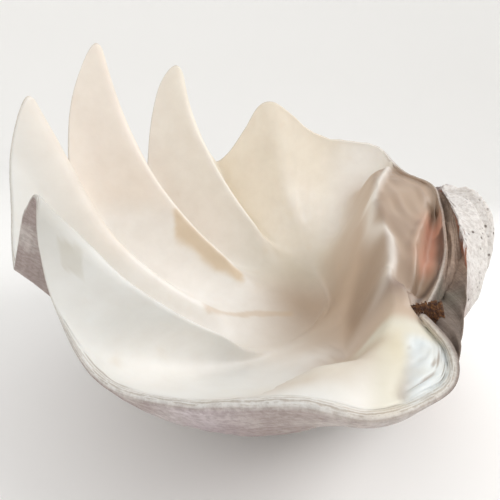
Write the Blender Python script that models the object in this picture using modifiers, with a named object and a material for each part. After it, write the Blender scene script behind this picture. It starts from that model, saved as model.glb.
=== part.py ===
"""One valve of a giant clam, lying on its convex outer side with the hollow up.

The margin is a closed loop of knots, given in hundredths of the shell's length. The outer surface is the
growth spiral of that loop: it shrinks towards the beak and turns about the hinge's direction as it does.
The inner surface falls from the margin to the floor on superelliptic curves, with the hinge plate raised.
"""
import math

import bmesh
import bpy
import numpy as np
from mathutils import Matrix
from mathutils.bvhtree import BVHTree

SHELL_LENGTH = 0.60  # metres, along the hinge's direction (Y)
UNIT = SHELL_LENGTH / 97.0
STEPS = 3  # loop points between two knots
OUTER_RINGS = 10
INNER_RINGS = 13
FLOOR = np.array([-13.0, 7.0, -30.0])  # deepest point of the hollow
BEAK = np.array([6.5, 16.0, 1.6])
TUFT_GAP = 0.0004  # metres between the tuft and the shell
WALL_INSIDE = 2.4  # least thickness well inside the margin
TURN = (1.25, 1.2, 0.86)  # growth spiral: angle = a(1 - exp(-b L)) + c L, with L = -ln(scale)
MOST_TURN = 3.3
GRAIN = 0.0030  # metres: cell of the remesh that merges the folds where they meet near the beak
YOUNG_TEETH = 0.45  # height of the teeth, relative to size, when the shell was young
REST = (15.5, 4.28)  # rotation about X and about Y that lays the valve down, degrees

# x, y, z, rim thickness, rim slant (0 flat outward, 1 hanging down), profile exponent, bow
KNOTS = [
    (0.0, -24.3, -3.6, 1.0, 0.6, 2.0, 1.0),  # ligament notch
    (-0.4, -27.0, -1.8, 1.2, 0.6, 1.9, 1.0),
    (1.4, -32.3, -1.0, 1.8, 0.7, 1.6, 1.0),
    (0.2, -38.3, 0.6, 1.8, 0.8, 1.4, 1.0),
    (-2.9, -42.6, 1.6, 1.8, 0.8, 1.3, 1.0),  # near corner
    (-7.8, -46.6, 2.4, 1.5, 0.8, 1.2, 0.9),
    (-14.5, -47.0, 1.6, 1.5, 0.8, 1.2, 0.8),
    (-24.0, -47.4, -3.0, 1.3, 0.8, 1.2, 0.7),
    (-32.6, -47.0, -6.0, 1.2, 0.7, 1.2, 0.65),
    (-38.2, -45.7, -6.8, 1.2, 0.6, 1.25, 0.6),
    (-42.4, -44.3, -4.6, 1.1, 0.4, 1.25, 0.55),
    (-44.9, -43.2, 0.4, 1.0, 0.2, 1.25, 0.5),
    (-44.9, -42.7, 7.6, 0.8, 0.1, 1.2, 0.48),
    (-43.4, -42.9, 14.0, 0.6, 0.0, 1.2, 0.48),  # first tooth
    (-47.5, -41.0, 11.1, 0.8, 0.0, 1.4, 0.48),
    (-50.1, -40.0, 8.3, 1.0, 0.0, 1.5, 0.48),
    (-55.5, -37.6, 2.0, 1.1, 0.0, 1.8, 0.48),
    (-61.6, -34.9, -4.7, 1.2, 0.0, 1.9, 0.48),  # notch
    (-63.2, -31.2, 2.2, 1.1, 0.0, 1.85, 0.48),
    (-64.0, -27.6, 10.8, 0.9, 0.0, 1.8, 0.48),
    (-61.7, -24.1, 19.0, 0.6, 0.0, 1.75, 0.48),  # second tooth
    (-64.6, -20.5, 11.0, 0.9, 0.0, 1.9, 0.48),
    (-67.5, -16.5, 1.5, 1.1, 0.0, 2.1, 0.48),
    (-70.4, -11.2, -5.5, 1.2, 0.0, 2.3, 0.48),  # notch
    (-73.2, -7.6, 1.5, 1.1, 0.0, 2.1, 0.48),
    (-73.4, -4.0, 11.5, 0.9, 0.0, 1.9, 0.48),
    (-71.0, -1.6, 19.4, 0.75, 0.0, 1.75, 0.48),
    (-67.1, 0.0, 24.9, 0.6, 0.0, 1.7, 0.48),  # third tooth, the tallest
    (-68.6, 3.0, 16.0, 0.9, 0.0, 1.9, 0.48),
    (-68.6, 7.0, 3.0, 1.1, 0.0, 2.1, 0.48),
    (-67.0, 11.5, -8.0, 1.2, 0.0, 2.3, 0.48),  # notch
    (-68.3, 15.2, -4.5, 1.1, 0.0, 2.1, 0.48),
    (-67.5, 18.2, 7.5, 0.9, 0.0, 1.8, 0.48),
    (-65.3, 20.4, 16.0, 0.75, 0.0, 1.6, 0.48),
    (-61.0, 21.6, 20.1, 0.6, 0.0, 1.5, 0.48),  # fourth tooth
    (-60.6, 24.5, 11.0, 0.9, 0.0, 1.65, 0.48),
    (-59.2, 28.8, 0.5, 1.1, 0.0, 1.8, 0.48),
    (-56.0, 33.2, -7.1, 1.2, 0.0, 1.9, 0.48),  # notch
    (-51.9, 34.6, -4.6, 1.1, 0.1, 1.8, 0.5),
    (-47.5, 37.0, 3.0, 1.0, 0.2, 1.7, 0.52),
    (-44.3, 38.8, 9.5, 0.9, 0.2, 1.6, 0.53),
    (-40.3, 39.7, 11.3, 0.9, 0.2, 1.5, 0.55),  # fifth tooth, blunt
    (-35.0, 42.3, 8.2, 1.0, 0.3, 1.45, 0.6),
    (-29.0, 44.6, 3.6, 1.2, 0.4, 1.4, 0.7),
    (-22.3, 46.6, 1.4, 1.3, 0.5, 1.4, 0.8),
    (-15.0, 47.4, 1.4, 1.4, 0.5, 1.4, 0.9),
    (-7.5, 47.2, 0.9, 1.4, 0.5, 1.4, 1.0),  # far corner
    (-3.2, 41.5, -1.2, 1.4, 0.5, 1.6, 1.0),
    (-0.2, 30.0, -1.1, 1.3, 0.4, 2.0, 1.0),  # far end of the hinge
    (4.8, 18.5, 0.2, 0.8, 0.2, 2.0, 1.0),
    (6.0, 10.0, 0.4, 0.7, 0.2, 2.0, 1.0),
    (5.4, 1.0, 0.0, 0.8, 0.3, 2.0, 1.0),
    (4.4, -9.0, -0.6, 0.9, 0.4, 2.0, 1.0),
    (2.4, -17.5, -1.4, 1.0, 0.5, 2.0, 1.0),
]

# the hinge plate: where its inner edge runs (x for each y), how wide the edge's slope is, how high it stands
PLATE_Y = [-50, -44, -38, -33, -28, -24, -19, -12, -5, 2, 8, 16, 24, 32, 44]
PLATE_EDGE = [-22, -17, -11, -8.5, -7, -6, -6.8, -6.5, -7.5, -9.5, -10, -10.5, -10.5, -10.5, -9]
PLATE_SLOPE = [7, 6, 4, 3, 2.6, 2.2, 2, 2, 2, 2, 2, 2.5, 3, 4, 6]
PLATE_HEIGHT = [-4, -5, -6, -6, -5, -4, -2.5, -2, -1.8, -1.8, -1.6, -1.2, -1.0, -1.5, -2.5]


def smooth_step(low, high, value):
    t = np.clip((value - low) / (high - low), 0, 1)
    return t * t * (3 - 2 * t)


def margin_loop(steps):
    """Closed Catmull-Rom curve through the knots: every column of KNOTS at each loop point."""
    knots = np.array(KNOTS, float)
    t = (np.arange(steps) / steps)[None, :, None]
    a, b, c, d = [np.roll(knots, shift, axis=0)[:, None, :] for shift in (1, 0, -1, -2)]
    curve = 0.5 * (2 * b + (c - a) * t + (2 * a - 5 * b + 4 * c - d) * t**2 + (3 * b - a - 3 * c + d) * t**3)
    return curve.reshape(len(knots) * steps, 7)


def blurred(values, reach):
    """Running mean round the loop with a bell-shaped window."""
    bell = np.hanning(2 * reach + 3)[1:-1]
    bell /= bell.sum()
    at = (np.arange(len(values))[:, None] + np.arange(-reach, reach + 1)[None]) % len(values)
    return np.einsum("ij...,j->i...", values[at], bell)


def rims(loop, steps):
    """Inner and outer edge of the margin: the thickness lies across the direction in which the shell grew."""
    thickness, slant = loop[:, 3:4], loop[:, 4:5]
    here, behind = outer_surface(loop[:, :3], loop, steps, np.array([1.0, 0.985]))
    along = np.roll(here, -1, axis=0) - np.roll(here, 1, axis=0)
    inward = np.cross(along, here - behind)
    inward /= np.linalg.norm(inward, axis=1, keepdims=True)
    inward = blurred(inward, max(1, steps // 2))
    inward /= np.linalg.norm(inward, axis=1, keepdims=True)
    return here + inward * thickness * (1 - slant), here - inward * thickness * slant


def inner_surface(rim, loop, steps, rings):
    exponent = blurred(loop[:, 5], steps // 2 + 1)
    bow = blurred(loop[:, 6], steps)
    run = np.cos(np.linspace(0, math.pi / 2, rings + 1))[:, None]
    run[-1] = 0
    x = FLOOR[0] + (rim[:, 0] - FLOOR[0]) * run
    y = FLOOR[1] + (rim[:, 1] - FLOOR[1]) * run**bow
    fall = 1 - (1 - run**exponent) ** (1 / exponent)
    z = FLOOR[2] + (rim[:, 2] - FLOOR[2]) * fall
    edge = np.interp(y, PLATE_Y, PLATE_EDGE)
    slope = np.interp(y, PLATE_Y, PLATE_SLOPE)
    height = np.interp(y, PLATE_Y, PLATE_HEIGHT)
    on_plate = smooth_step(edge - slope, edge + slope, x) * smooth_step(-53, -45, y) * (1 - smooth_step(34, 42, y))
    along = np.clip((x - edge) / np.maximum(rim[:, 0] - edge, 0.5), 0, 1)
    z = z + np.maximum(height + (rim[:, 2] - height) * along - z, 0) * on_plate
    return np.stack([x, y, z], -1)


def outer_surface(rim, loop, steps, scale):
    scale = scale[:, None]
    decay = -np.log(np.maximum(scale, 1e-3))
    turn = np.minimum(TURN[0] * (1 - np.exp(-TURN[1] * decay)) + TURN[2] * decay, MOST_TURN)
    teeth = YOUNG_TEETH + (1 - YOUNG_TEETH) * np.clip((scale - 0.3) / 0.7, 0, 1)
    arm = rim - BEAK
    z = -4 + (arm[None, :, 2] + 4) * teeth
    x = arm[None, :, 0]
    side = 1 - (1 - scale) ** (1 + 0.4 * blurred(loop[:, 4], steps))[None, :]
    return np.stack(
        [
            BEAK[0] + scale * (x * np.cos(turn) - z * np.sin(turn)),
            BEAK[1] + side * arm[None, :, 1],
            BEAK[2] + scale * (x * np.sin(turn) + z * np.cos(turn)),
        ],
        -1,
    )


def facing(grid):
    """Unit normals of a grid closed round its second direction, turned to the hollow."""
    along = np.roll(grid, -1, axis=1) - np.roll(grid, 1, axis=1)
    normal = np.cross(np.gradient(grid, axis=0), along)
    return normal / (np.linalg.norm(normal, axis=-1, keepdims=True) + 1e-9)


def follow_outer(inner, near, rim, loop):
    """Next to an upright margin the wall is thin, so the inner surface keeps to the outer one there."""
    depth = np.linspace(0, 1, len(inner))[:, None, None]
    wall = loop[None, :, 3:4] + (WALL_INSIDE - loop[None, :, 3:4]) * smooth_step(0, 0.5, depth)
    beside = near + facing(near) * wall
    share = (1 - smooth_step(0.02, 0.4, depth)) * (1 - smooth_step(0.15, 0.5, loop[None, :, 4:5]))
    result = inner + (beside - inner) * share
    result[0] = rim
    return result


def grid_tree(grid):
    """Search tree over a grid of points closed round its second direction, faces turned to the hollow."""
    rows, columns = grid.shape[:2]
    index = np.arange(rows * columns).reshape(rows, columns)
    right = np.roll(index, -1, axis=1)
    faces = np.stack([index[:-1], index[1:], right[1:], right[:-1]], -1).reshape(-1, 4)
    return BVHTree.FromPolygons(grid.reshape(-1, 3).tolist(), faces.tolist())


def keep_wall(inner, outer, rim_thickness):
    """Lifts the inner surface wherever the wall under it would be thinner than it should be."""
    tree = grid_tree(outer)
    depth = np.linspace(0, 1, len(inner))[:, None]
    wanted = rim_thickness[None] * 0.8 + (WALL_INSIDE - rim_thickness[None] * 0.8) * smooth_step(0, 0.45, depth)
    for _ in range(4):
        push = np.zeros_like(inner)
        for row in range(1, len(inner)):
            for column in range(inner.shape[1]):
                point = inner[row, column]
                near, normal, _, _ = tree.find_nearest(point.tolist())
                lack = wanted[row, column] - float(np.dot(point - np.array(near), np.array(normal)))
                if lack > 0:
                    push[row, column] = np.array(normal) * min(lack, 3.0)
        spread = (2 * push + np.roll(push, 1, axis=1) + np.roll(push, -1, axis=1)) / 4
        inner = inner + np.maximum(np.abs(push), np.abs(spread)) * np.sign(np.where(push != 0, push, spread))
    inner[-1] = inner[-1].mean(axis=0)
    return inner


def valve_points(steps, outer_rings, inner_rings):
    """Rings from the beak, over the outer side, round the rim and down to the floor of the hollow."""
    loop = margin_loop(steps)
    inner_rim, outer_rim = rims(loop, steps)
    inner = inner_surface(inner_rim, loop, steps, inner_rings)
    outer = outer_surface(outer_rim, loop, steps, np.linspace(1, 0, outer_rings + 1) ** 1.15)
    near = outer_surface(outer_rim, loop, steps, 1 - 0.5 * np.linspace(0, 1, inner_rings + 1) ** 1.3)
    inner = follow_outer(inner, near, inner_rim, loop)
    inner = keep_wall(inner, outer, loop[:, 3])
    return np.concatenate([outer[::-1], inner])


def ring_body(name, points):
    """Closed body: a UV sphere whose rings are moved onto the given rings, whose ends are single points."""
    mesh = bmesh.new()
    rings, columns = points.shape[:2]
    bmesh.ops.create_uvsphere(mesh, u_segments=columns, v_segments=rings - 1, radius=1.0)
    for vertex in mesh.verts:
        x, y, z = vertex.co
        ring = round((math.pi / 2 - math.asin(max(-1.0, min(1.0, z)))) / math.pi * (rings - 1))
        column = round((math.atan2(y, x) / (2 * math.pi)) * columns) % columns
        vertex.co = points[ring, column if 0 < ring < rings - 1 else 0] * UNIT
    bmesh.ops.triangulate(mesh, faces=mesh.faces, quad_method="SHORT_EDGE")
    if mesh.calc_volume(signed=True) < 0:
        bmesh.ops.reverse_faces(mesh, faces=mesh.faces)
    data = bpy.data.meshes.new(name)
    mesh.to_mesh(data)
    mesh.free()
    part = bpy.data.objects.new(name, data)
    bpy.context.scene.collection.objects.link(part)
    return part


def paint(part, name, colour, roughness):
    material = bpy.data.materials.new(name)
    material.use_nodes = True
    shader = material.node_tree.nodes["Principled BSDF"]
    shader.inputs["Base Color"].default_value = (*colour, 1.0)
    shader.inputs["Roughness"].default_value = roughness
    part.data.materials.append(material)


def tuft_points(columns, rings):
    """Flattened spindle of dry fibre: it lies in the notch beside the hinge plate."""
    start, end = np.array([-2.8, -24.2, -3.2]), np.array([2.6, -24.3, -2.6])
    axis = (end - start) / np.linalg.norm(end - start)
    side = np.cross([0, 0, 1], axis)
    side /= np.linalg.norm(side)
    up = np.cross(axis, side)
    t = np.linspace(0, 1, rings)
    wide = 1.1 * np.sin(math.pi * t**0.8) ** 0.7
    thick = 0.5 * np.sin(math.pi * t**0.8) ** 0.7
    turn = np.arange(columns) / columns * 2 * math.pi
    return (
        (start + t[:, None] * (end - start))[:, None, :]
        + (wide[:, None] * np.cos(turn))[..., None] * side
        + (thick[:, None] * np.sin(turn))[..., None] * up
    )


for old in list(bpy.data.objects):
    bpy.data.objects.remove(old, do_unlink=True)

valve = ring_body("shell_valve", valve_points(STEPS, OUTER_RINGS, INNER_RINGS))
merge = valve.modifiers.new("merge", "REMESH")
merge.mode = "VOXEL"
merge.voxel_size = GRAIN
thin_out = valve.modifiers.new("thin_out", "DECIMATE")
thin_out.ratio = 0.0225
merged = bpy.data.meshes.new_from_object(valve.evaluated_get(bpy.context.evaluated_depsgraph_get()))
valve.modifiers.clear()
valve.data = merged
paint(valve, "shell aragonite", (0.80, 0.74, 0.65), 0.45)
tuft = ring_body("ligament_remnant", tuft_points(16, 13))
paint(tuft, "dry ligament", (0.13, 0.07, 0.03), 0.85)

# the tuft sits just clear of the notch's floor
tree = BVHTree.FromPolygons([vertex.co for vertex in valve.data.vertices], [face.vertices for face in valve.data.polygons])
for _ in range(40):
    gaps = []
    for vertex in tuft.data.vertices:
        near, normal, _, _ = tree.find_nearest(vertex.co)
        gaps.append((vertex.co - near).dot(normal))
    if min(gaps) >= TUFT_GAP:
        break
    tuft.data.transform(Matrix.Translation((0, 0, TUFT_GAP - min(gaps) + 0.0001)))

# lay the valve down on the side it rests on, with the lowest point at Z = 0
lay = Matrix.Rotation(math.radians(REST[1]), 4, "Y") @ Matrix.Rotation(math.radians(REST[0]), 4, "X")
for part in (valve, tuft):
    part.data.transform(lay)
corners = np.array([vertex.co for vertex in valve.data.vertices])
middle = (corners.min(axis=0) + corners.max(axis=0)) / 2
for part in (valve, tuft):
    part.data.transform(Matrix.Translation((-middle[0], -middle[1], -corners[:, 2].min())))
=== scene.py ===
import math
import bpy
import numpy as np
from mathutils import Matrix, Vector


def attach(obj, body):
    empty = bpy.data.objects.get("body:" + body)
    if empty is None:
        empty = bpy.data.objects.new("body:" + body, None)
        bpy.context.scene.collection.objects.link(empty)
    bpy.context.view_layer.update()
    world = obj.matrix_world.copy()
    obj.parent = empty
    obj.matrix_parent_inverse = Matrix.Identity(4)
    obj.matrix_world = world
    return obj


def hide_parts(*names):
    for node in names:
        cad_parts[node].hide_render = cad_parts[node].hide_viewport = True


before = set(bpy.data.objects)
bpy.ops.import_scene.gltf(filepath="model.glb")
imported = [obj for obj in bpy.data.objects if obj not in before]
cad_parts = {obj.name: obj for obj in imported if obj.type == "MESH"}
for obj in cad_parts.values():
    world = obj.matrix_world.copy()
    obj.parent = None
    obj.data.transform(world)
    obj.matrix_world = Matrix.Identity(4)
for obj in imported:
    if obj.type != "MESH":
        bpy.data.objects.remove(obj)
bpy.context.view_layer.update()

# One valve of a giant clam, laid on its outer side. Lengths in the shell's own frame are in hundredths
# of its length: +X to the hinge, -X to the teeth, +Y to the far corner, +Z out of the hollow.
valve = {
    "length": 0.60,  # metres along the hinge's direction
    "loopSteps": 11,  # columns between two knots
    "outerRows": 62,
    "rimRows": 5,
    "innerRows": 84,
    "floor": (-13.0, 7.0, -30.0),  # deepest point of the hollow
    "beak": (6.5, 16.0, 1.6),
    "wallInside": 2.4,
    "turn": (1.25, 1.2, 0.86),  # growth spiral: angle = a(1 - exp(-b L)) + c L, L = -ln(scale)
    "mostTurn": 3.3,
    "youngTeeth": 0.45,
    "restX": 15.5,  # degrees, lays the valve on the ribs it stands on
    "restY": 4.28,
    "restShift": (0.16964, 0.00161, 0.22471),  # metres, after the turns
}
unit = valve["length"] / 97.0
floorPoint, beakPoint = np.array(valve["floor"]), np.array(valve["beak"])

# x, y, z, rim thickness, rim slant (0 flat outward, 1 hanging down), profile exponent, bow
knots = [
    (0.0, -24.3, -3.6, 1.0, 0.6, 2.0, 1.0),  # ligament notch
    (-0.4, -27.0, -1.8, 1.2, 0.6, 1.9, 1.0),
    (1.4, -32.3, -1.0, 1.3, 0.7, 1.6, 1.0),
    (0.2, -38.3, 0.6, 1.2, 0.8, 1.4, 1.0),
    (-2.9, -42.6, 1.6, 1.2, 0.8, 1.3, 1.0),  # near corner
    (-7.8, -46.6, 2.4, 1.2, 0.8, 1.2, 0.9),
    (-14.5, -47.0, 1.6, 1.5, 0.8, 1.2, 0.8),
    (-24.0, -47.4, -3.0, 1.3, 0.8, 1.2, 0.7),
    (-32.6, -47.0, -6.0, 1.2, 0.7, 1.2, 0.65),
    (-38.2, -45.7, -6.8, 1.2, 0.6, 1.25, 0.6),
    (-42.4, -44.3, -4.6, 1.1, 0.4, 1.25, 0.55),
    (-44.9, -43.2, 0.4, 1.0, 0.2, 1.25, 0.5),
    (-44.9, -42.7, 7.6, 0.8, 0.1, 1.2, 0.48),
    (-43.4, -42.9, 14.0, 0.6, 0.0, 1.2, 0.48),  # first tooth
    (-47.5, -41.0, 11.1, 0.8, 0.0, 1.4, 0.48),
    (-50.1, -40.0, 8.3, 1.0, 0.0, 1.5, 0.48),
    (-55.5, -37.6, 2.0, 1.1, 0.0, 1.8, 0.48),
    (-61.6, -34.9, -4.7, 1.2, 0.0, 1.9, 0.48),  # notch
    (-63.2, -31.2, 2.2, 1.1, 0.0, 1.85, 0.48),
    (-64.0, -27.6, 10.8, 0.9, 0.0, 1.8, 0.48),
    (-61.7, -24.1, 19.0, 0.6, 0.0, 1.75, 0.48),  # second tooth
    (-64.6, -20.5, 11.0, 0.9, 0.0, 1.9, 0.48),
    (-67.5, -16.5, 1.5, 1.1, 0.0, 2.1, 0.48),
    (-70.4, -11.2, -5.5, 1.2, 0.0, 2.3, 0.48),  # notch
    (-73.2, -7.6, 1.5, 1.1, 0.0, 2.1, 0.48),
    (-73.4, -4.0, 11.5, 0.9, 0.0, 1.9, 0.48),
    (-71.0, -1.6, 19.4, 0.75, 0.0, 1.75, 0.48),
    (-67.1, 0.0, 24.9, 0.6, 0.0, 1.7, 0.48),  # third tooth, the tallest
    (-68.6, 3.0, 16.0, 0.9, 0.0, 1.9, 0.48),
    (-68.6, 7.0, 3.0, 1.1, 0.0, 2.1, 0.48),
    (-67.0, 11.5, -8.0, 1.2, 0.0, 2.3, 0.48),  # notch
    (-68.3, 15.2, -4.5, 1.1, 0.0, 2.1, 0.48),
    (-67.5, 18.2, 7.5, 0.9, 0.0, 1.8, 0.48),
    (-65.3, 20.4, 16.0, 0.75, 0.0, 1.6, 0.48),
    (-61.0, 21.6, 20.1, 0.6, 0.0, 1.5, 0.48),  # fourth tooth
    (-60.6, 24.5, 11.0, 0.9, 0.0, 1.65, 0.48),
    (-59.2, 28.8, 0.5, 1.1, 0.0, 1.8, 0.48),
    (-56.0, 33.2, -7.1, 1.2, 0.0, 1.9, 0.48),  # notch
    (-51.9, 34.6, -4.6, 1.1, 0.1, 1.8, 0.5),
    (-47.5, 37.0, 3.0, 1.0, 0.2, 1.7, 0.52),
    (-44.3, 38.8, 9.5, 0.9, 0.2, 1.6, 0.53),
    (-40.3, 39.7, 11.3, 0.9, 0.2, 1.5, 0.55),  # fifth tooth, blunt
    (-35.0, 42.3, 8.2, 1.0, 0.3, 1.45, 0.6),
    (-29.0, 44.6, 3.6, 1.2, 0.4, 1.4, 0.7),
    (-22.3, 46.6, 1.4, 1.3, 0.5, 1.4, 0.8),
    (-15.0, 47.4, 1.4, 1.4, 0.5, 1.4, 0.9),
    (-7.5, 47.2, 0.9, 1.4, 0.5, 1.4, 1.0),  # far corner
    (-3.2, 41.5, -1.2, 1.4, 0.5, 1.6, 1.0),
    (-0.2, 30.0, -0.2, 1.3, 0.4, 2.0, 1.0),  # far end of the hinge
    (4.8, 18.5, 1.6, 0.9, 0.2, 2.0, 1.0),
    (6.0, 10.0, 0.4, 0.7, 0.2, 2.0, 1.0),
    (5.4, 1.0, 0.0, 0.8, 0.3, 2.0, 1.0),
    (4.4, -9.0, -0.6, 0.9, 0.4, 2.0, 1.0),
    (2.4, -17.5, -1.4, 1.0, 0.5, 2.0, 1.0),
]

# the hinge plate: x of its inner edge for each y, half width of that edge's slope, how high it stands
plate = {
    "y": [-50, -44, -38, -33, -28, -24, -19, -12, -5, 2, 8, 16, 24, 32, 44],
    "edge": [-22, -17, -11, -8.5, -7, -6, -6.8, -6.5, -7.5, -9.5, -10, -10.5, -10.5, -10.5, -9],
    "slope": [7, 6, 4, 3, 2.6, 2.2, 2, 2, 2, 2, 2, 2.5, 3, 4, 6],
    "height": [-4, -5, -6, -6, -5, -4, -2.5, -2, -1.8, -1.8, -1.6, -1.2, -1.0, -1.5, -2.5],
}


def smoothStep(low, high, value):
    # 0 before low, 1 past high, 3t^2 - 2t^3 between them
    t = np.clip((value - low) / (high - low), 0, 1)
    return t * t * (3 - 2 * t)


def unitVectors(vectors):
    # each vector divided by its length
    return vectors / (np.linalg.norm(vectors, axis=-1, keepdims=True) + 1e-9)


def valueNoise(points, cell, seed):
    # random number at each corner of a cubic lattice, blended by the cubic 3t^2 - 2t^3; result -1 to 1
    scaled = np.asarray(points, float) / cell
    base = np.floor(scaled).astype(np.int64)
    part = scaled - base
    part = part * part * (3 - 2 * part)
    total = 0.0
    for corner in np.ndindex(2, 2, 2):
        at = base + np.array(corner)
        code = (at[..., 0] * 73856093) ^ (at[..., 1] * 19349663) ^ (at[..., 2] * 83492791)
        code = code ^ (seed * 2654435761)
        code = (code ^ (code >> 13)) * 1274126177 & 0xFFFFFFFF
        code = (code ^ (code >> 16)) * 2246822519 & 0xFFFFFFFF
        share = np.prod(np.where(np.array(corner) == 1, part, 1 - part), axis=-1)
        total = total + share * ((code ^ (code >> 15)) & 0xFFFFFF) / 0xFFFFFF
    return total * 2 - 1


def fractal(points, cell, seed, octaves=3):
    # sum of value noises, each half as wide and half as high as the one before
    return sum(valueNoise(points, cell / 2**k, seed + k) / 2**k for k in range(octaves)) / 1.75


def lineBell(x, y, line, width):
    # bell curve exp(-(d/width)^2) of the distance d to a broken line in the x, y plane
    spots, nearest = np.array(line, float), np.full(np.shape(x), 1e9)
    for start, end in zip(spots[:-1], spots[1:]):
        run = end - start
        t = np.clip(((x - start[0]) * run[0] + (y - start[1]) * run[1]) / (run @ run), 0, 1)
        nearest = np.minimum(nearest, np.hypot(x - start[0] - t * run[0], y - start[1] - t * run[1]))
    return np.exp(-((nearest / width) ** 2))


def patch(x, y, centre, size, lean=0.0):
    # bell curve over an ellipse turned by lean degrees
    c, s = math.cos(math.radians(lean)), math.sin(math.radians(lean))
    dx, dy = x - centre[0], y - centre[1]
    return np.exp(-(((c * dx + s * dy) / size[0]) ** 2) - ((c * dy - s * dx) / size[1]) ** 2)


def marginLoop(steps):
    # closed Catmull-Rom curve through the knots
    spots = np.array(knots, float)
    t = (np.arange(steps) / steps)[None, :, None]
    a, b, c, d = [np.roll(spots, shift, axis=0)[:, None, :] for shift in (1, 0, -1, -2)]
    curve = 0.5 * (2 * b + (c - a) * t + (2 * a - 5 * b + 4 * c - d) * t**2 + (3 * b - a - 3 * c + d) * t**3)
    return curve.reshape(len(spots) * steps, 7)


def blurred(values, reach):
    # running mean round the loop with a bell-shaped window
    bell = np.hanning(2 * reach + 3)[1:-1]
    bell /= bell.sum()
    at = (np.arange(len(values))[:, None] + np.arange(-reach, reach + 1)[None]) % len(values)
    return np.einsum("ij...,j->i...", values[at], bell)


def outerSurface(rim, loop, scale):
    # growth spiral: the margin shrinks by scale towards the beak and turns about Y as it does
    scale = scale[:, None]
    decay = -np.log(np.maximum(scale, 1e-3))
    a, b, c = valve["turn"]
    turn = np.minimum(a * (1 - np.exp(-b * decay)) + c * decay, valve["mostTurn"])
    teeth = valve["youngTeeth"] + (1 - valve["youngTeeth"]) * np.clip((scale - 0.3) / 0.7, 0, 1)
    arm = rim - beakPoint
    z = -4 + (arm[None, :, 2] + 4) * teeth
    x = arm[None, :, 0]
    side = 1 - (1 - scale) ** (1 + 0.4 * blurred(loop[:, 4], valve["loopSteps"]))[None, :]
    return np.stack(
        [
            beakPoint[0] + scale * (x * np.cos(turn) - z * np.sin(turn)),
            beakPoint[1] + side * arm[None, :, 1],
            beakPoint[2] + scale * (x * np.sin(turn) + z * np.cos(turn)),
        ],
        -1,
    )


def rimEdges(loop):
    # the margin's thickness lies across the direction in which the shell grew
    thickness, slant = loop[:, 3:4], loop[:, 4:5]
    here, behind = outerSurface(loop[:, :3], loop, np.array([1.0, 0.985]))
    along = np.roll(here, -1, axis=0) - np.roll(here, 1, axis=0)
    growth = unitVectors(here - behind)
    inward = unitVectors(blurred(unitVectors(np.cross(along, growth)), max(1, valve["loopSteps"] // 2)))
    return here + inward * thickness * (1 - slant), here - inward * thickness * slant, growth


def innerSurface(rim, loop, rows):
    # from margin to floor, falling by 1 - (1 - r^n)^(1/n) of the height, with the hinge plate raised
    steps = valve["loopSteps"]
    exponent, bow = blurred(loop[:, 5], steps // 2 + 1), blurred(loop[:, 6], steps)
    run = np.cos(np.linspace(0, math.pi / 2, rows + 1))[:, None]
    run[-1] = 0
    x = floorPoint[0] + (rim[:, 0] - floorPoint[0]) * run
    y = floorPoint[1] + (rim[:, 1] - floorPoint[1]) * run**bow
    fall = 1 - (1 - run**exponent) ** (1 / exponent)
    z = floorPoint[2] + (rim[:, 2] - floorPoint[2]) * fall
    edge, slope, height = [np.interp(y, plate["y"], plate[key]) for key in ("edge", "slope", "height")]
    onPlate = smoothStep(edge - slope, edge + slope, x)
    onPlate = onPlate * smoothStep(-53, -45, y) * (1 - smoothStep(34, 42, y))
    along = np.clip((x - edge) / np.maximum(rim[:, 0] - edge, 0.5), 0, 1)
    z = z + np.maximum(height + (rim[:, 2] - height) * along - z, 0) * onPlate
    return np.stack([x, y, z], -1)


def facing(grid):
    # unit normals of a grid closed round its second direction
    along = np.roll(grid, -1, axis=1) - np.roll(grid, 1, axis=1)
    return unitVectors(np.cross(np.gradient(grid, axis=0), along))


def followOuter(inner, near, rim, loop):
    # next to an upright margin the wall is thin, so the inner surface keeps to the outer one there
    depth = np.linspace(0, 1, len(inner))[:, None, None]
    wall = loop[None, :, 3:4] + (valve["wallInside"] - loop[None, :, 3:4]) * smoothStep(0, 0.5, depth)
    beside = near + facing(near) * wall
    share = (1 - smoothStep(0.02, 0.4, depth)) * (1 - smoothStep(0.15, 0.5, loop[None, :, 4:5]))
    result = inner + (beside - inner) * share
    result[0] = rim
    return result


def widened(values, reach):
    # highest value within reach, then a running mean, so that a bump stays covered and gets soft sides
    for axis in (0, 1):
        mode = "wrap" if axis else "edge"
        pad = [(reach, reach), (0, 0)] if axis == 0 else [(0, 0), (reach, reach)]
        for combine in (np.max, np.mean):
            padded = np.pad(values, pad, mode=mode)
            windows = np.lib.stride_tricks.sliding_window_view(padded, 2 * reach + 1, axis=axis)
            values = combine(windows, axis=-1)
    return values


def stretched(values, rowCount, columnCount):
    # a coarse grid, closed round its columns, read at a finer spacing
    closed = np.concatenate([values, values[:, :1]], axis=1)
    rowAt = np.linspace(0, closed.shape[0] - 1, rowCount)
    columnAt = np.arange(columnCount) * (closed.shape[1] - 1) / columnCount
    r, c = np.minimum(rowAt.astype(int), closed.shape[0] - 2), columnAt.astype(int)
    fr, fc = (rowAt - r)[:, None], (columnAt - c)[None]
    top = closed[r][:, c] * (1 - fc) + closed[r][:, c + 1] * fc
    bottom = closed[r + 1][:, c] * (1 - fc) + closed[r + 1][:, c + 1] * fc
    return top * (1 - fr) + bottom * fr


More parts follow.
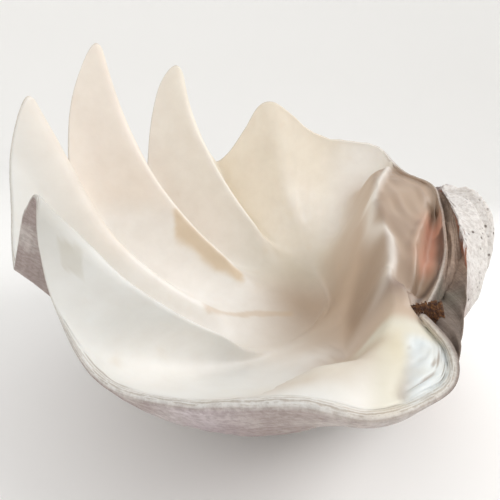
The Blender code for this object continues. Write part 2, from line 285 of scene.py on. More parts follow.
def keepWall(outer, inner, age):
    # the inner surface's lowest height over each cell of a grid, lowered by a ball of the wall's thickness;
    # the outer surface is brought down to that wherever it stands a little above it
    cell, wall, corner = 0.5, 1.3, np.array([-80.0, -55.0])
    rowCount, columnCount = inner.shape[:2]
    grids = [stretched(inner[..., k], rowCount * 3, columnCount * 2) for k in range(3)]
    fine = np.stack(grids, -1).reshape(-1, 3)
    lowest = np.full((200, 220), np.inf)  # covers the whole valve in X and Y
    at = ((fine[:, :2] - corner) / cell).astype(int)
    np.minimum.at(lowest, (at[:, 0], at[:, 1]), fine[:, 2])
    limit, reach = lowest.copy(), math.ceil(wall / cell)
    for i, j in np.ndindex(2 * reach + 1, 2 * reach + 1):
        drop = wall**2 - ((i - reach) ** 2 + (j - reach) ** 2) * cell**2
        if drop >= 0:
            limit = np.minimum(limit, np.roll(lowest, (i - reach, j - reach), (0, 1)) - math.sqrt(drop))
    at = np.clip(((outer[..., :2] - corner) / cell).astype(int), 0, np.array(lowest.shape) - 1)
    over = outer[..., 2] - limit[at[..., 0], at[..., 1]]
    over = np.where(np.isfinite(over), over, 0)
    down = np.clip(over, 0, 9) * (1 - smoothStep(9, 12, over))
    down = widened(down, 1) * (smoothStep(0.2, 0.32, age) * (1 - smoothStep(0.9, 0.99, age)))[:, None]
    return outer - down[..., None] * np.array([0, 0, 1.0])


loop = marginLoop(valve["loopSteps"])
columns = len(loop)
innerRim, outerRim, growthWay = rimEdges(loop)
inner = innerSurface(innerRim, loop, valve["innerRows"])
depth = np.linspace(0, 1, len(inner))  # 0 at the margin, 1 at the floor
age = np.linspace(1, 0, valve["outerRows"] + 1) ** 1.15  # 1 at the margin, 0 at the beak
outer = outerSurface(outerRim, loop, age)
near = outerSurface(outerRim, loop, 1 - 0.5 * depth**1.3)
inner = followOuter(inner, near, innerRim, loop)
outer = keepWall(outer, inner, age)
print("shell surfaces", inner.shape, outer.shape)


def faded(grid, strength):
    # the folds die out towards the floor: each row keeps only its slow waves, by exp(-(k s)^2 / 2)
    waves = np.fft.rfft(grid, axis=1)
    k = np.arange(waves.shape[1])[None, :, None]
    kept = np.exp(-((k * strength[:, None, None]) ** 2) / 2)
    return np.fft.irfft(waves * kept, n=grid.shape[1], axis=1)


def growthNoise(values, count, waves, seed):
    # noise that changes fast from one growth line to the next and slowly along each of them
    theta = np.arange(columns) / columns * 2 * math.pi
    around = np.stack([np.cos(theta), np.sin(theta)], -1)
    rowsHere = np.broadcast_to((values * count)[:, None, None], (len(values), columns, 1))
    along = np.broadcast_to(around[None] * waves, (len(values), columns, 2))
    return valueNoise(np.concatenate([rowsHere, along], -1), 1.0, seed)


def streaks(across, along, seed):
    # value noise over two slanted coordinates, each already divided by its own width
    return valueNoise(np.stack([across, along, np.zeros_like(across)], -1), 1.0, seed)


def creases(x, y):
    # creases of the hinge plate, 1.5 apart and 8 long; they shape it and colour it
    return streaks((x + 0.25 * y) / 1.5, y / 8.0, 61)


inner = faded(inner, 0.42 * smoothStep(0.62, 0.95, depth))
inner[-1] = inner[-1].mean(axis=0)

# heights of the relief, in hundredths of the shell's length
reliefHeight = {
    "terraces": 0.42,
    "lumps": 0.5,
    "eatenUmbo": 0.34,
    "rimChips": 0.38,
    "rimGrain": 0.06,
    "slowWaves": 0.16,
    "footRipples": 0.22,
    "scarRipples": 0.16,
    "cornerFlakes": 0.3,
    "marginFlakes": 0.2,
    "hingeCreases": 0.22,
    "crumpledHinge": 0.45,
}

# outside: growth terraces, broad lumps and a rough, eaten umbo; calm at the margin and at the beak
terraces = growthNoise(age, 17, 2.5, 11) * 0.9 + growthNoise(age, 44, 4.0, 12) * 0.5
calm = (smoothStep(0.05, 0.2, age) * smoothStep(1.0, 0.94, age))[:, None]
onUmbo = (1 - smoothStep(0.3, 0.5, age))[:, None]
lumps = fractal(outer, 11.0, 21) * reliefHeight["lumps"]
lumps = lumps + fractal(outer, 2.6, 31) * reliefHeight["eatenUmbo"] * onUmbo
outer = outer - facing(outer) * ((reliefHeight["terraces"] * terraces + lumps) * calm)[..., None]

# the broken edge between the two surfaces, rounded along the way the shell grew and chipped
edgeTurn = np.linspace(0, 1, valve["rimRows"] + 2)[1:-1]
rimRows = innerRim + (outerRim - innerRim) * edgeTurn[:, None, None]
rimRows = rimRows + growthWay * loop[:, 3:4] * 0.4 * np.sin(math.pi * edgeTurn)[:, None, None]
chips = fractal(rimRows, 2.2, 41) * reliefHeight["rimChips"] * smoothStep(0.1, 0.6, loop[:, 4])[None]
chips = chips + fractal(rimRows, 1.2, 45) * reliefHeight["rimGrain"]
rimRows = rimRows + growthWay * chips[..., None]

# features of the inner surface as broken lines in X, Y
lines = {
    "cardinalTooth": [(-3.3, 40.1), (-5.6, 27.0), (-8.1, 12.5)],
    "plateLip": [(-8.0, 15.3), (-7.6, 4.1), (-4.3, -5.7), (-4.1, -12.8), (-4.8, -17.6), (-5.3, -20.1)],
    "dorsalEdge": [(7.3, 16.9), (3.8, 7.4), (0.6, -2.1), (-0.5, -8.2), (-0.4, -15.0), (-1.0, -19.6)],
    "ligamentGroove": [(5.6, 11.0), (4.0, 1.0), (2.6, -7.0), (1.5, -13.5), (-0.2, -18.5)],
    "ligamentCrack": [(5.1, -0.1), (4.1, -8.0), (3.5, -13.4), (2.4, -16.0), (0.8, -19.2), (-0.3, -21.5)],
    "lobeGroove": [(-2.0, -33.6), (-3.5, -38.8), (-4.8, -43.4)],
    "furrow": [(-6.9, -33.1), (-8.6, -39.0), (-10.8, -42.9), (-16.0, -44.6), (-22.0, -45.6)],
    "goldenStreak": [(-51.5, -0.2), (-46.0, 0.5), (-41.5, 0.5), (-35.5, 1.6)],
    "streakEdge": [(-52.0, 1.2), (-44.5, 1.6)],
    "stainLine": [(-37, -15.5), (-30, -7), (-21, -2)],
}
# height and half width of the ridges (+) and grooves (-) that follow those lines
ridges = {
    "cardinalTooth": (1.3, 1.0),
    "plateLip": (0.5, 0.8),
    "dorsalEdge": (0.9, 0.9),
    "ligamentGroove": (-2.6, 1.5),
    "lobeGroove": (-0.5, 0.9),
    "furrow": (-0.25, 1.2),
}
smooth = inner
x, y = smooth[..., 0], smooth[..., 1]
lift = sum(height * lineBell(x, y, lines[name], width) for name, (height, width) in ridges.items())
lift = lift + 1.2 * patch(x, y, (-2.6, -21.2), (2.4, 2.0))  # bulge above the notch
inner = smooth + lift[..., None] * np.array([0, 0, 1.0])

# slow waves of the porcelain, ripples at the foot of the first fold and over the muscle scar
relief = fractal(smooth, 13.0, 51) * reliefHeight["slowWaves"] * smoothStep(0.0, 0.06, depth)[:, None]
ripple = streaks((x + 0.5 * y) / 1.3, (y - 0.5 * x) / 7.0, 55)
relief += ripple * reliefHeight["footRipples"] * patch(x, y, (-14.0, -24.0), (9.0, 5.0), 25)
scarRipple = streaks((x * 0.9 + y * 0.3) / 1.6, y / 9.0, 57)
relief += scarRipple * reliefHeight["scarRipples"] * patch(x, y, (-25.0, 31.0), (9.0, 6.0), 15)
# thin layers flaking off at the corner by the notch and along the near margin
flakes = growthNoise(depth, 46, 9.0, 59) * 0.7 + growthNoise(depth, 90, 20.0, 60) * 0.4
cornerBand = smoothStep(-5.0, -2.6, x - 0.12 * (y + 36)) * smoothStep(-30, -33, y)
nearBand = smoothStep(0.1, 0.0, depth)[:, None] * smoothStep(-38, -43, y) * smoothStep(-44, -38, x)
relief += flakes * (reliefHeight["cornerFlakes"] * cornerBand + reliefHeight["marginFlakes"] * nearBand)
# soft creases over the hinge plate, crumpled shell at the far end of the hinge
onHinge = smoothStep(-10, -7, x) * smoothStep(-22, -17, y) * (1 - smoothStep(34, 42, y))
relief += reliefHeight["hingeCreases"] * creases(x, y) * onHinge
relief += fractal(smooth, 2.6, 63) * reliefHeight["crumpledHinge"] * patch(x, y, (-2.0, 33.0), (5.0, 9.0))
inner = inner + facing(inner) * relief[..., None]
inner[-1] = inner[-1].mean(axis=0)

surface = np.concatenate([outer[::-1], rimRows[::-1], inner])
bare = np.zeros((len(outer) + len(rimRows), columns))
flakeLines = np.concatenate([bare, flakes * np.maximum(cornerBand, nearBand)])
outsideShare = np.concatenate([np.ones(len(outer)), edgeTurn[::-1], np.zeros(len(inner))])
growth = np.concatenate([age[::-1], np.ones(len(rimRows)), np.ones(len(inner))])


def toLinear(code):
    # sRGB hex code to linear red, green, blue
    value = np.array([int(code[k:k + 2], 16) for k in (1, 3, 5)]) / 255
    return np.where(value <= 0.04045, value / 12.92, ((value + 0.055) / 1.055) ** 2.4)


# colours of the grown layers, and of painted light and painted shade, blended over the surface
shades = {
    "porcelain": "#ece8e1",
    "cool": "#e2e2df",
    "cream": "#ebe1cf",
    "pink": "#efe5da",
    "olive": "#cdc5b2",
    "tanStainAndShade": "#b7a18a",
    "wall": "#bca58f",
    "streak": "#d2b78e",
    "stain": "#c9ae8a",
    "whiteAndPaintedLight": "#f1efeb",
    "lobe": "#d9d5c7",
    "ivory": "#d8ceb2",
    "salmon": "#cf9f88",
    "dark": "#4b382c",
    "outer": "#aa9c98",
    "chalk": "#dedad6",
    "brown": "#786a5f",
    "wallTop": "#b8a08d",
    "tipShade": "#c6c5bf",
    "rust": "#a5684a",
    "plate": "#9c8571",
    "bulgeShade": "#826c5e",
    "gum": "#bdb6a4",
    "groove": "#8f7c6c",
    "flake": "#d6dcdd",
    "violet": "#c9bcc8",
    "moss": "#6f7062",
}
tint = np.broadcast_to(toLinear(shades["porcelain"]), surface.shape).copy()


def paint(shade, share):
    # tint + (shade - tint) share, over what was laid before
    share = np.clip(share, 0, 1)[..., None]
    tint[:] = tint + (toLinear(shades[shade]) - tint) * share


x, y, z = surface[..., 0], surface[..., 1], surface[..., 2]
isOuter = np.broadcast_to(outsideShare[:, None], z.shape)
isInner = 1 - isOuter
growthGrid = np.broadcast_to(growth[:, None], z.shape)
cloud = fractal(surface, 9.0, 71)
vein = fractal(surface, 3.0, 75)
# porcelain: cool on the first fold, pinkish on the next ones, cream on the last, tan stain darkened by
# painted shade in the depth; painted light on the low ground and on the gloss at the first fold's foot
paint("cool", smoothStep(-20, -30, y) * smoothStep(-6, -14, x))
paint("pink", smoothStep(-34, -50, x) * smoothStep(-30, -18, y) * (1 - smoothStep(10, 22, y)) * 0.8)
paint("cream", smoothStep(12, 30, y) * smoothStep(-12, -26, x) * 0.8)
paint("whiteAndPaintedLight", 0.7 * patch(x, y, (-26, 31), (8, 5), 15) * (0.7 + 0.5 * vein))
# painted light: the low ground at the foot of the teeth whitened, as if more brightly lit
paint("whiteAndPaintedLight", 0.75 * smoothStep(-24, -34, x) * smoothStep(-4, -12, z) * (1 - smoothStep(6, 16, y)))
paint("olive", 0.85 * patch(x, y, (-24, 14), (14, 10), 15))
# tan stain in the depth of the hollow, darkened further as painted shade
paint("tanStainAndShade", 0.75 * patch(x, y, (-15, -1), (13, 17), 5) + 0.3 * patch(x, y, (-21, 4), (9, 6)))
underHinge = smoothStep(-19, -6, x + 1.5 * cloud) * smoothStep(-40, -30, y) * (1 - smoothStep(36, 44, y))
# inner wall under the hinge: its stain, darkened further as painted shade of a side that faces away from the
# light
paint("wall", underHinge * isInner)
# painted highlight: the gloss on the ripples at the foot of the first fold
paint("whiteAndPaintedLight", 0.5 * patch(x, y, (-14, -25), (8, 4), 25) * isInner)
# the lobe beside the notch, its flaky corner, and painted shade in the grooves round it and between the
# flakes
paint("lobe", smoothStep(-9, -6.5, x) * smoothStep(-25.5, -29, y) * isInner)
paint("ivory", 0.7 * patch(x, y, (-4.5, -35), (2.5, 6.0)) * isInner)
# painted shade along the furrow
paint("tanStainAndShade", 0.55 * lineBell(x, y, lines["furrow"], 1.8) * (0.8 + 0.5 * vein) * isInner)
paint("olive", 0.45 * patch(x, y, (-13.0, -41.0), (8.0, 4.5)) * isInner)
# painted shadow in the groove beside the lobe
paint("groove", 0.8 * lineBell(x, y, lines["lobeGroove"], 0.7) * (0.7 + 0.6 * vein) * isInner)
flakyCorner = smoothStep(-4.6, -2.4, x - 0.12 * (y + 36)) * smoothStep(-30, -33, y)
paint("flake", flakyCorner * (0.8 + 0.5 * vein) * isInner)
# painted shade in the sunken lines between the flakes
paint("groove", 0.7 * smoothStep(0.2, 0.6, -flakeLines))
# stains where the folds meet the floor, painted shade greying the tip of the first fold
golden = lineBell(x, y, lines["goldenStreak"], 1.05)
paint("streak", 0.65 * smoothStep(0.05, 0.95, golden + 0.3 * vein) * isInner)
paint("whiteAndPaintedLight", 0.4 * lineBell(x, y, lines["streakEdge"], 0.6) * isInner)
stained = lineBell(x, y, lines["stainLine"], 1.1)
paint("stain", 0.4 * smoothStep(0.2, 0.9, stained + 0.5 * vein) * isInner)
# painted shade: the tip of the first fold greyed
paint("tipShade", 0.6 * smoothStep(2, 12, z) * smoothStep(-37, -41, y) * isInner)
# hinge: porcelain ridges on a tan plate, painted shade on the bulge above the notch, salmon groove, dark
# crack where the ligament sat
hinge = smoothStep(-9, -7, x) * smoothStep(-22, -18, y) * (1 - smoothStep(34, 40, y)) * isInner
paint("plate", 0.9 * hinge * (0.85 + 0.4 * creases(x, y)))
paint("porcelain", 0.65 * lineBell(x, y, lines["cardinalTooth"], 1.0) * isInner)
paint("porcelain", 0.6 * lineBell(x, y, lines["plateLip"], 0.8) * isInner)
# painted shade over the bulge above the notch
paint("bulgeShade", 0.9 * patch(x, y, (-3.2, -20.5), (3.0, 2.2)) * isInner)
groove = lineBell(x, y, lines["ligamentGroove"], 2.3) * smoothStep(-16, -9, y) * (1 - smoothStep(3, 12, y))
groove = groove * isInner
paint("salmon", groove * (0.95 + 0.3 * vein))
paint("dark", 0.5 * smoothStep(0.5, 0.85, vein) * groove**3)
crack = lineBell(x, y, lines["ligamentCrack"], 0.55)
paint("dark", 0.85 * (1 - smoothStep(0.3, 0.8, isOuter)) * crack)
# outside: brown-mauve horny skin worn off in places, brown wall under the hinge, chalky umbo
outerShare = smoothStep(0.72, 0.99, isOuter)
paint("outer", outerShare)
paint("chalk", 0.7 * smoothStep(-0.25, 0.6, cloud + 0.5 * vein) * outerShare)
violetPatch = patch(x, y, (-24.0, -46.5), (5.0, 9.0)) * smoothStep(0.75, 0.85, growthGrid)
paint("violet", 0.45 * outerShare * violetPatch)
wallShare = outerShare * smoothStep(-3, 3, x) * smoothStep(26, 18, y)
offUmbo = smoothStep(0.36, 0.46, growthGrid)
paint("brown", wallShare * offUmbo)
paint("wallTop", 0.9 * wallShare * smoothStep(-22, -8, y) * offUmbo * (0.8 + 0.5 * vein))
# gum left by a price label on the first fold: a leaning patch of 16 by 28 mm, measured along its sides
across = 1.293 * (x + 42.1) - 0.237 * (z - 6.5)
down = -1.029 * (x + 42.1) - 0.831 * (z - 6.5)
gum = smoothStep(1.5, 1.1, np.abs(across)) * smoothStep(2.5, 2.0, np.abs(down))
gum = gum * smoothStep(-38, -40, y) * isInner
paint("gum", 0.4 * gum * (0.8 + 0.6 * vein))
mossy = smoothStep(-14, -20, y) * smoothStep(0.0, 0.6, cloud) * smoothStep(0.5, 0.7, growthGrid)
paint("moss", 0.6 * wallShare * mossy)
paint("chalk", outerShare * (1 - smoothStep(0.3, 0.4, growthGrid + 0.04 * vein)))
paint("rust", wallShare * np.exp(-(((growthGrid - 0.41) / 0.045) ** 2)))
print("colours painted")


def gridFaces(rowCount, columnCount):
    # quads between neighbouring rows, closed round the columns
    index = np.arange(rowCount * columnCount).reshape(rowCount, columnCount)
    right = np.roll(index, -1, axis=1)
    return np.stack([index[:-1], right[:-1], right[1:], index[1:]], -1).reshape(-1, 4)


def addMesh(name, points, faces):
    # smooth-shaded mesh whose object stands at the origin
    data = bpy.data.meshes.new(name)
    data.from_pydata(points.tolist(), [], faces)
    data.polygons.foreach_set("use_smooth", np.ones(len(data.polygons), bool))
    piece = bpy.data.objects.new(name, data)
    bpy.context.scene.collection.objects.link(piece)
    return piece


def closedMesh(name, grid, floats, colours):
    # the grid's first and last rows are single points, so each becomes one vertex with a fan of triangles
    rowCount, columnCount = grid.shape[:2]
    middle = grid[1:-1].reshape(-1, 3)
    poles = np.stack([grid[0].mean(0), grid[-1].mean(0)])
    points = np.concatenate([middle, poles])
    quads = gridFaces(rowCount - 2, columnCount)
    ring = np.arange(columnCount)
    following = np.roll(ring, -1)
    last = len(middle) - columnCount
    firstFan = np.stack([np.full(columnCount, len(middle)), following, ring], -1)
    lastFan = np.stack([np.full(columnCount, len(middle) + 1), last + ring, last + following], -1)
    faces = [face[::-1] for face in quads.tolist() + firstFan.tolist() + lastFan.tolist()]  # outward
    piece = addMesh(name, points, faces)
    attributes = piece.data.attributes
    for key, values in floats.items():
        flat = np.concatenate([values[1:-1].reshape(-1), [values[0].mean(), values[-1].mean()]])
        attributes.new(key, "FLOAT", "POINT").data.foreach_set("value", flat.astype(np.float32))
    for key, values in colours.items():
        flat = np.concatenate([values[1:-1].reshape(-1, 3), values[:1].mean(1), values[-1:].mean(1)])
        flat = np.concatenate([flat, np.ones((len(flat), 1))], 1).astype(np.float32)
        attributes.new(key, "FLOAT_COLOR", "POINT").data.foreach_set("color", flat.ravel())
    return piece


def layDown(points):
    # from the shell's frame to its resting place, in metres
    a, b = math.radians(valve["restX"]), math.radians(valve["restY"])
    turnX = np.array([[1, 0, 0], [0, math.cos(a), -math.sin(a)], [0, math.sin(a), math.cos(a)]])
    turnY = np.array([[math.cos(b), 0, math.sin(b)], [0, 1, 0], [-math.sin(b), 0, math.cos(b)]])
    placed = points * unit @ (turnY @ turnX).T + np.array(valve["restShift"])
    placed[..., 2] = np.maximum(placed[..., 2], 0.0)  # worn flat where it stands
    return placed


shell = closedMesh(
    "giantClamValve", layDown(surface), {"outside": isOuter, "growth": growthGrid}, {"tint": tint}
)
print("shell mesh", len(shell.data.vertices), len(shell.data.polygons))


def addNode(tree, kind, settings, links):
    # one node, its fixed settings, and its inputs set, or linked from a socket or a node's first output
    node = tree.nodes.new(kind)
    for key, value in settings.items():
        setattr(node, key, value)
    for key, value in links.items():
        if isinstance(value, bpy.types.Node):
            value = value.outputs[0]
        if isinstance(value, bpy.types.NodeSocket):
            tree.links.new(value, node.inputs[key])
        else:
            node.inputs[key].default_value = value
    return node


multiply, add, subtract = [{"operation": name} for name in ("MULTIPLY", "ADD", "SUBTRACT")]
# a colour mix takes its colours at inputs 6 and 7 and gives its result at output 2
colourMultiply, colourMix = [{"data_type": "RGBA", "blend_type": name} for name in ("MULTIPLY", "MIX")]

# aragonite shell: porcelain-like layer inside, with a satin shine; chalky layers outside, matt
shellFinish = {
    "mottlePerMetre": 34.0,  # faint clouds in the porcelain, about 30 mm
    "grainPerMetre": 800.0,  # chalk grain under 1 mm, drawn at 1.2 mm
    "specklePerMetre": 190.0,  # worn spots, about 5 mm
    "pitsPerMetre": 120.0,  # bored pits about 3 mm wide, 8 mm apart
    "pitPatchPerMetre": 22.0,  # they stand together in patches of about 45 mm
    "growthLines": 130.0,  # from beak to margin, 2 to 5 mm apart
    "rimLayers": 9.0,  # seen edge on across the broken rim
    "lineShade": (0.56, 0.51, 0.49, 1),  # darkest growth line, as a share of the colour
    "layerShade": (0.55, 0.46, 0.38, 1),
    "spotShade": (0.62, 0.58, 0.56, 1),
    "pitColour": "#5d5048",
    "bumpDepth": 0.0012,  # metres
    "chalkRoughness": 0.86,
    "ior": 1.6,
    "glow": 0.12,  # share of light that scatters below the surface
    "glowReach": (0.006, 0.005, 0.004),  # metres, for red, green, blue
}
shellLook = bpy.data.materials.new("aragonite porcelain and chalky shell layers")
shellLook.use_nodes = True
tree = shellLook.node_tree
shader = tree.nodes["Principled BSDF"]
tintColour = addNode(tree, "ShaderNodeAttribute", {"attribute_name": "tint"}, {}).outputs["Color"]
outside = addNode(tree, "ShaderNodeAttribute", {"attribute_name": "outside"}, {}).outputs["Fac"]
growthAge = addNode(tree, "ShaderNodeAttribute", {"attribute_name": "growth"}, {}).outputs["Fac"]
place = addNode(tree, "ShaderNodeTexCoord", {}, {}).outputs["Object"]
mottle = addNode(tree, "ShaderNodeTexNoise", {}, {
    "Vector": place, "Scale": shellFinish["mottlePerMetre"], "Detail": 5.0, "Roughness": 0.6})
grain = addNode(tree, "ShaderNodeTexNoise", {}, {
    "Vector": place, "Scale": shellFinish["grainPerMetre"], "Detail": 2.0})
speckle = addNode(tree, "ShaderNodeTexNoise", {}, {
    "Vector": place, "Scale": shellFinish["specklePerMetre"], "Detail": 4.0, "Roughness": 0.7})

# growth lines follow the age of the shell, wander a little, and fade on the worn umbo
wander = addNode(tree, "ShaderNodeMath", multiply, {0: mottle, 1: 0.02})
lineAt = addNode(tree, "ShaderNodeMath", add, {0: growthAge, 1: wander})
lineVector = addNode(tree, "ShaderNodeCombineXYZ", {}, {"X": lineAt})
growthLines = addNode(tree, "ShaderNodeTexNoise", {}, {
    "Vector": lineVector, "Scale": shellFinish["growthLines"], "Detail": 4.0, "Roughness": 0.65})
offWornUmbo = addNode(tree, "ShaderNodeMapRange", {}, {"Value": growthAge, 1: 0.3, 2: 0.5, 3: 0.2, 4: 1.0})
lineShare = addNode(tree, "ShaderNodeMath", multiply, {0: outside, 1: offWornUmbo})

# layers seen edge on across the broken rim, where "outside" runs from 0 to 1: the band is 4 s (1 - s)
fourfold = addNode(tree, "ShaderNodeMath", multiply, {0: outside, 1: 4.0})
inside = addNode(tree, "ShaderNodeMath", subtract, {0: 1.0, 1: outside})
rimBand = addNode(tree, "ShaderNodeMath", multiply, {0: fourfold, 1: inside})
layerAt = addNode(tree, "ShaderNodeMath", multiply, {0: outside, 1: shellFinish["rimLayers"]})
layerWander = addNode(tree, "ShaderNodeMath", multiply, {0: mottle, 1: 5.0})
layerVector = addNode(tree, "ShaderNodeCombineXYZ", {}, {"X": layerAt, "Y": layerWander})
layers = addNode(tree, "ShaderNodeTexNoise", {}, {"Vector": layerVector, "Scale": 1.0, "Detail": 3.0})

# bored pits, in patches on the umbo only
pits = addNode(tree, "ShaderNodeTexVoronoi", {}, {
    "Vector": place, "Scale": shellFinish["pitsPerMetre"], "Randomness": 1.0})
pitPatch = addNode(tree, "ShaderNodeTexNoise", {}, {
    "Vector": place, "Scale": shellFinish["pitPatchPerMetre"], "Detail": 2.0})
pitHole = addNode(tree, "ShaderNodeMapRange", {}, {"Value": pits, 1: 0.16, 2: 0.27, 3: 1.0, 4: 0.0})
pitGroup = addNode(tree, "ShaderNodeMapRange", {}, {"Value": pitPatch, 1: 0.46, 2: 0.56, 3: 0.0, 4: 1.0})
onOldShell = addNode(tree, "ShaderNodeMapRange", {}, {"Value": growthAge, 1: 0.38, 2: 0.5, 3: 1.0, 4: 0.0})
pitArea = addNode(tree, "ShaderNodeMath", multiply, {0: outside, 1: onOldShell})
pitShare = addNode(tree, "ShaderNodeMath", multiply, {0: pitGroup, 1: pitArea})
pitMask = addNode(tree, "ShaderNodeMath", multiply, {0: pitHole, 1: pitShare})

# colour: the painted tint, faintly clouded, then growth lines, rim layers, worn spots and pits
clouds = {}
for k in range(3):
    lowest = 0.955 - 0.012 * k  # the clouds are a little warmer than the shell
    clouds[k] = addNode(tree, "ShaderNodeMapRange", {}, {"Value": mottle, 1: 0.3, 2: 0.7, 3: lowest, 4: 1.02})
cloudColour = addNode(tree, "ShaderNodeCombineColor", {}, clouds)
faint = addNode(tree, "ShaderNodeMix", colourMultiply, {0: 1.0, 6: tintColour, 7: cloudColour})
darkLine = addNode(tree, "ShaderNodeMapRange", {}, {"Value": growthLines, 1: 0.42, 2: 0.6, 3: 0.5, 4: 0.0})
lineDepth = addNode(tree, "ShaderNodeMath", multiply, {0: lineShare, 1: darkLine})
striped = addNode(tree, "ShaderNodeMix", colourMultiply, {
    0: lineDepth, 6: faint.outputs[2], 7: shellFinish["lineShade"]})
darkLayer = addNode(tree, "ShaderNodeMapRange", {}, {"Value": layers, 1: 0.4, 2: 0.55, 3: 0.7, 4: 0.0})
layerDepth = addNode(tree, "ShaderNodeMath", multiply, {0: rimBand, 1: darkLayer})
lined = addNode(tree, "ShaderNodeMix", colourMultiply, {
    0: layerDepth, 6: striped.outputs[2], 7: shellFinish["layerShade"]})
wornSpot = addNode(tree, "ShaderNodeMapRange", {}, {"Value": speckle, 1: 0.42, 2: 0.6, 3: 0.0, 4: 0.6})
spotDepth = addNode(tree, "ShaderNodeMath", multiply, {0: outside, 1: wornSpot})
chalky = addNode(tree, "ShaderNodeMix", colourMultiply, {
    0: spotDepth, 6: lined.outputs[2], 7: shellFinish["spotShade"]})
pitDepth = addNode(tree, "ShaderNodeMath", multiply, {0: pitMask, 1: 0.85})
pitted = addNode(tree, "ShaderNodeMix", colourMix, {
    0: pitDepth, 6: chalky.outputs[2], 7: (*toLinear(shellFinish["pitColour"]), 1)})
tree.links.new(pitted.outputs[2], shader.inputs["Base Color"])

# satin inside, matt outside
satin = addNode(tree, "ShaderNodeMapRange", {}, {"Value": mottle, 1: 0.35, 2: 0.65, 3: 0.4, 4: 0.52})
roughness = addNode(tree, "ShaderNodeMix", {}, {0: outside, 2: satin, 3: shellFinish["chalkRoughness"]})
tree.links.new(roughness.outputs[0], shader.inputs["Roughness"])

# bump: growth lines, rim layers, chalk grain and worn spots raised, pits sunk
lineRelief = addNode(tree, "ShaderNodeMath", multiply, {0: growthLines, 1: lineShare})
layerBand = addNode(tree, "ShaderNodeMath", multiply, {0: layers, 1: rimBand})
layerRelief = addNode(tree, "ShaderNodeMath", multiply, {0: layerBand, 1: 1.5})
lineHeight = addNode(tree, "ShaderNodeMath", add, {0: lineRelief, 1: layerRelief})
grainShare = addNode(tree, "ShaderNodeMapRange", {}, {"Value": outside, 1: 0.0, 2: 1.0, 3: 0.03, 4: 0.35})
grainRelief = addNode(tree, "ShaderNodeMath", multiply, {0: grain, 1: grainShare})
spotBand = addNode(tree, "ShaderNodeMath", multiply, {0: speckle, 1: outside})
spotRelief = addNode(tree, "ShaderNodeMath", multiply, {0: spotBand, 1: 1.2})
roughHeight = addNode(tree, "ShaderNodeMath", add, {0: grainRelief, 1: spotRelief})
raised = addNode(tree, "ShaderNodeMath", add, {0: lineHeight, 1: roughHeight})
pitSink = addNode(tree, "ShaderNodeMath", multiply, {0: pitMask, 1: 1.5})
height = addNode(tree, "ShaderNodeMath", subtract, {0: raised, 1: pitSink})
bump = addNode(tree, "ShaderNodeBump", {}, {
    "Strength": 0.6, "Distance": shellFinish["bumpDepth"], "Height": height})
tree.links.new(bump.outputs[0], shader.inputs["Normal"])
shader.inputs["IOR"].default_value = shellFinish["ior"]
shader.inputs["Subsurface Weight"].default_value = shellFinish["glow"]
shader.inputs["Subsurface Radius"].default_value = shellFinish["glowReach"]
shader.inputs["Subsurface Scale"].default_value = 1.0
shell.data.materials.append(shellLook)
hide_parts("shell_valve")
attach(shell, "root")

# remnant of the ligament: dry protein fibres in the notch beside the hinge plate
tuft = {
    "fibres": 300,
    "rings": 5,
    "sides": 5,
    "radius": 0.06,  # hundredths of the shell's length
    "rootStart": (-3.0, -24.1, -2.9), "rootEnd": (2.1, -22.6, -1.3),
    "tipStart": (-1.4, -24.9, -3.1), "tipEnd": (3.0, -26.2, -3.0),
    "spread": 0.3,
    "darkColour": "#3a1c0c", "frayedColour": "#8a5a2c",
    "frayPerMetre": 420.0,  # worn and whole stretches of fibre, about 2 mm
    "roughness": 0.7,
}


def fibreTubes(settings):
    # each fibre runs from the root line to the tip line, bowed up by sin(pi t), and thins to its tip
    random = np.random.default_rng(7)
    count, rings, sides = settings["fibres"], settings["rings"], settings["sides"]
    at = random.random(count)[:, None]
    root = np.array(settings["rootStart"]) * (1 - at) + np.array(settings["rootEnd"]) * at
    away = np.clip(at + random.normal(0, 0.12, (count, 1)), 0, 1)
    tip = np.array(settings["tipStart"]) * (1 - away) + np.array(settings["tipEnd"]) * away
    tip = root + (tip - root) * (0.35 + 0.65 * at)  # a fan: shortest at its point
    root = root + random.normal(0, 0.16, (count, 3)) * [1, 1, 0.7]
    tip = tip + random.normal(0, settings["spread"], (count, 3)) * [1, 1, 0.6]
    t = np.linspace(0, 1, rings)[None, :, None]
    bow = random.uniform(0.0, 0.25, (count, 1, 1)) * np.sin(math.pi * t) * np.array([0, 0, 1.0])
    middle = root[:, None] * (1 - t) + tip[:, None] * t + bow
    axis = unitVectors(tip - root)[:, None]
    side = unitVectors(np.cross(axis, [0.0, 0.0, 1.0]))
    up = np.cross(side, axis)
    turn = np.arange(sides) / sides * 2 * math.pi
    radius = settings["radius"] * random.uniform(0.6, 1.3, (count, 1, 1)) * (1.05 - 0.75 * t)
    circle = side[:, :, None] * np.cos(turn)[:, None] + up[:, :, None] * np.sin(turn)[:, None]
    return middle[:, :, None] + circle * radius[..., None]


tubes = fibreTubes(tuft)
count, ringCount, sideCount = tubes.shape[:3]
perTube = ringCount * sideCount
ends = [list(range(sideCount))[::-1], list(range(perTube - sideCount, perTube))]
tubeFaces = [face[::-1] for face in gridFaces(ringCount, sideCount).tolist() + ends]  # outward
fibreFaces = [[corner + k * perTube for corner in face] for k in range(count) for face in tubeFaces]
fibrePiece = addMesh("ligamentFibres", layDown(tubes).reshape(-1, 3), fibreFaces)

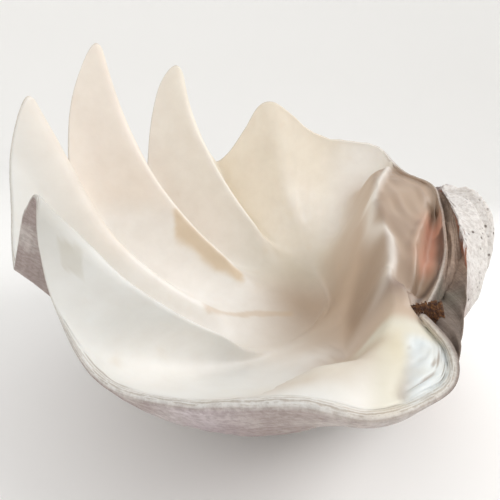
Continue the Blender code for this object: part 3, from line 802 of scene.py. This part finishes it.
# dry conchiolin, split into fibres: dark brown, paler where it is frayed, matt
tuftLook = bpy.data.materials.new("dry fibrous ligament")
tuftLook.use_nodes = True
tuftTree = tuftLook.node_tree
tuftShader = tuftTree.nodes["Principled BSDF"]
tuftPlace = addNode(tuftTree, "ShaderNodeTexCoord", {}, {}).outputs["Object"]
fray = addNode(tuftTree, "ShaderNodeTexNoise", {}, {
    "Vector": tuftPlace, "Scale": tuft["frayPerMetre"], "Detail": 3.0})
frayShare = addNode(tuftTree, "ShaderNodeMapRange", {}, {"Value": fray, 1: 0.4, 2: 0.7, 3: 0.0, 4: 1.0})
tuftColour = addNode(tuftTree, "ShaderNodeMix", colourMix, {
    0: frayShare, 6: (*toLinear(tuft["darkColour"]), 1), 7: (*toLinear(tuft["frayedColour"]), 1)})
tuftTree.links.new(tuftColour.outputs[2], tuftShader.inputs["Base Color"])
tuftShader.inputs["Roughness"].default_value = tuft["roughness"]
fibrePiece.data.materials.append(tuftLook)
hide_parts("ligament_remnant")
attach(fibrePiece, "root")
print("ligament fibres", len(fibrePiece.data.polygons))

# plain pale floor that curves up far behind the object all round, soft studio light, camera
studio = {
    "floorRadius": 3.0,
    "coveRadius": 1.2,
    "coveHeight": 2.4,
    "floorColour": "#f6f5f3",
    "floorRoughness": 0.9,
    "ambient": 0.93,
    "keySize": 1.4, "keyPower": 20.0, "keyPlace": (1.5, 0.35, 1.7),
    "fillSize": 1.6, "fillPower": 5.0, "fillPlace": (-0.3, -1.9, 1.3),
    "cameraPlace": (0.0886, -0.4508, 0.2989),
    "cameraTurn": (73.722, -4.003, 15.222),  # degrees about X, Y, Z
    "lens": 25.27,  # mm on a 36 mm sensor
    "lensShift": (-0.0126, -0.003),
    "nearestView": 0.01,
}


def coveSurface(columnCount):
    # profile from the middle outwards: flat, quarter circle, upright; turned round Z
    bend = np.linspace(0, math.pi / 2, 14)
    flat, curve = studio["floorRadius"], studio["coveRadius"]
    radius = np.concatenate([[0.0], flat + curve * np.sin(bend), [flat + curve]])
    height = np.concatenate([[0.0], curve * (1 - np.cos(bend)), [studio["coveHeight"]]])
    angle = np.arange(columnCount) / columnCount * 2 * math.pi
    level = np.outer(height, np.ones(columnCount))
    return np.stack([np.outer(radius, np.cos(angle)), np.outer(radius, np.sin(angle)), level], -1)


cove = coveSurface(96)
coveFaces = gridFaces(*cove.shape[:2])[:, ::-1]  # towards the object
floorPiece = addMesh("paleFloor", cove.reshape(-1, 3), coveFaces.tolist())
floorLook = bpy.data.materials.new("matt pale floor")
floorLook.use_nodes = True
floorShader = floorLook.node_tree.nodes["Principled BSDF"]
floorShader.inputs["Base Color"].default_value = (*toLinear(studio["floorColour"]), 1)
floorShader.inputs["Roughness"].default_value = studio["floorRoughness"]
floorPiece.data.materials.append(floorLook)

world = bpy.data.worlds.new("studio")
world.use_nodes = True
world.node_tree.nodes["Background"].inputs["Color"].default_value = (1, 1, 1, 1)
world.node_tree.nodes["Background"].inputs["Strength"].default_value = studio["ambient"]
bpy.context.scene.world = world


def softLight(name, size, power, place, target=(0, 0, 0.15)):
    # round area light turned towards the middle of the shell
    lamp = bpy.data.lights.new(name, "AREA")
    lamp.shape, lamp.size, lamp.energy = "DISK", size, power
    holder = bpy.data.objects.new(name, lamp)
    way = Vector(target) - Vector(place)
    holder.matrix_world = Matrix.Translation(place) @ way.to_track_quat("-Z", "Y").to_matrix().to_4x4()
    bpy.context.scene.collection.objects.link(holder)


softLight("keyLight", studio["keySize"], studio["keyPower"], studio["keyPlace"])
softLight("fillLight", studio["fillSize"], studio["fillPower"], studio["fillPlace"])

lensData = bpy.data.cameras.new("camera")
lensData.lens = studio["lens"]
lensData.shift_x, lensData.shift_y = studio["lensShift"]
lensData.clip_start = studio["nearestView"]
cameraPiece = bpy.data.objects.new("camera", lensData)
cameraPiece.location = studio["cameraPlace"]
cameraPiece.rotation_euler = [math.radians(angle) for angle in studio["cameraTurn"]]
bpy.context.scene.collection.objects.link(cameraPiece)
bpy.context.scene.camera = cameraPiece
bpy.context.scene.view_settings.view_transform = "Standard"
print("studio ready")
